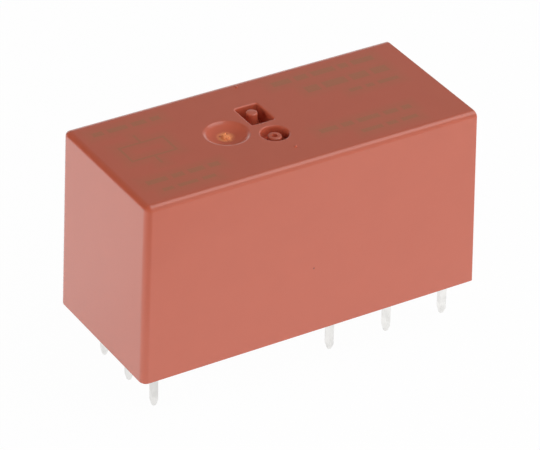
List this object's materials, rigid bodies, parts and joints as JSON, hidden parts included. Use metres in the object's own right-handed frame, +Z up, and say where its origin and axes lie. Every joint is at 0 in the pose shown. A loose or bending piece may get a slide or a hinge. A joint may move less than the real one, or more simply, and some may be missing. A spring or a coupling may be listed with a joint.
{
  "type": "pcb power relay",
  "caption": "Sealed oblong relay for circuit boards: drafted moulded case over a coil, armature and changeover contacts, with solder pins below for the coil and the contacts.",
  "frame": {"origin": "middle of the case in plan, on the board's top face where the standoff feet rest", "axes": "+X along the case from the coil pins to the contact pins, +Y from the front row of pins to the rear row, +Z up from the board"},
  "size_m": [0.0284, 0.0126, 0.0187],
  "materials": {
    "case_plastic": "matte moulded",
    "base_plastic": "matte moulded",
    "resin": "cast resin",
    "tinned_metal": "tinned",
    "bobbin_plastic": "moulded",
    "copper_wire": "enamelled wire",
    "magnet_iron": "plated iron",
    "spring_bronze": "rolled bronze",
    "card_plastic": "moulded",
    "contact_silver": "silver alloy"
  },
  "bodies": {
    "housing": {"cover": "case_plastic", "base": "base_plastic", "sealing_resin": "resin", "coil_pin_set": "tinned_metal", "coil_pin_common": "tinned_metal", "coil_pin_reset": "tinned_metal", "bobbin": "bobbin_plastic", "set_winding": "copper_wire", "reset_winding": "copper_wire", "core": "magnet_iron", "yoke": "magnet_iron", "armature_spring": "spring_bronze", "make_terminal_front": "tinned_metal", "make_terminal_rear": "tinned_metal", "common_terminal_front": "tinned_metal", "common_terminal_rear": "tinned_metal", "break_terminal_front": "tinned_metal", "break_terminal_rear": "tinned_metal", "make_contact_front": "contact_silver", "make_contact_rear": "contact_silver", "break_contact_front": "contact_silver", "break_contact_rear": "contact_silver", "leaf_rivet_front": "spring_bronze", "leaf_rivet_rear": "spring_bronze"},
    "armature_plate": {"armature": "magnet_iron"},
    "card_slider": {"card": "card_plastic"},
    "front_leaf": {"contact_leaf_front": "spring_bronze", "moving_contact_front": "contact_silver"},
    "rear_leaf": {"contact_leaf_rear": "spring_bronze", "moving_contact_rear": "contact_silver"}
  },
  "joints": [
    {"name": "armature_pivot", "type": "hinge", "parent": "housing", "child": "armature_plate", "pos_m": [0.00069, 0, 0.00278], "axis": [0, -1, 0], "range_deg": [0, 4.5], "stiffness_Nm_per_rad": 0.001, "springref_deg": -1.72},
    {"name": "card_slide", "type": "slide", "parent": "housing", "child": "card_slider", "axis": [-1, 0, 0], "range_m": [0, 0.0007792]},
    {"name": "front_leaf_bend", "type": "hinge", "parent": "housing", "child": "front_leaf", "pos_m": [0.00763, -0.00284, 0.0032], "axis": [0, -1, 0], "range_deg": [0, 4.71], "deforming": ["contact_leaf_front"]},
    {"name": "rear_leaf_bend", "type": "hinge", "parent": "housing", "child": "rear_leaf", "pos_m": [0.00763, 0.00284, 0.0032], "axis": [0, -1, 0], "range_deg": [0, 4.71], "deforming": ["contact_leaf_rear"]}
  ],
  "couplings": [
    {"joint": "card_slide", "follows": "armature_pivot", "m_per_rad": 0.0099204},
    {"joint": "front_leaf_bend", "follows": "armature_pivot", "ratio": 1.0476},
    {"joint": "rear_leaf_bend", "follows": "armature_pivot", "ratio": 1.0476}
  ]
}
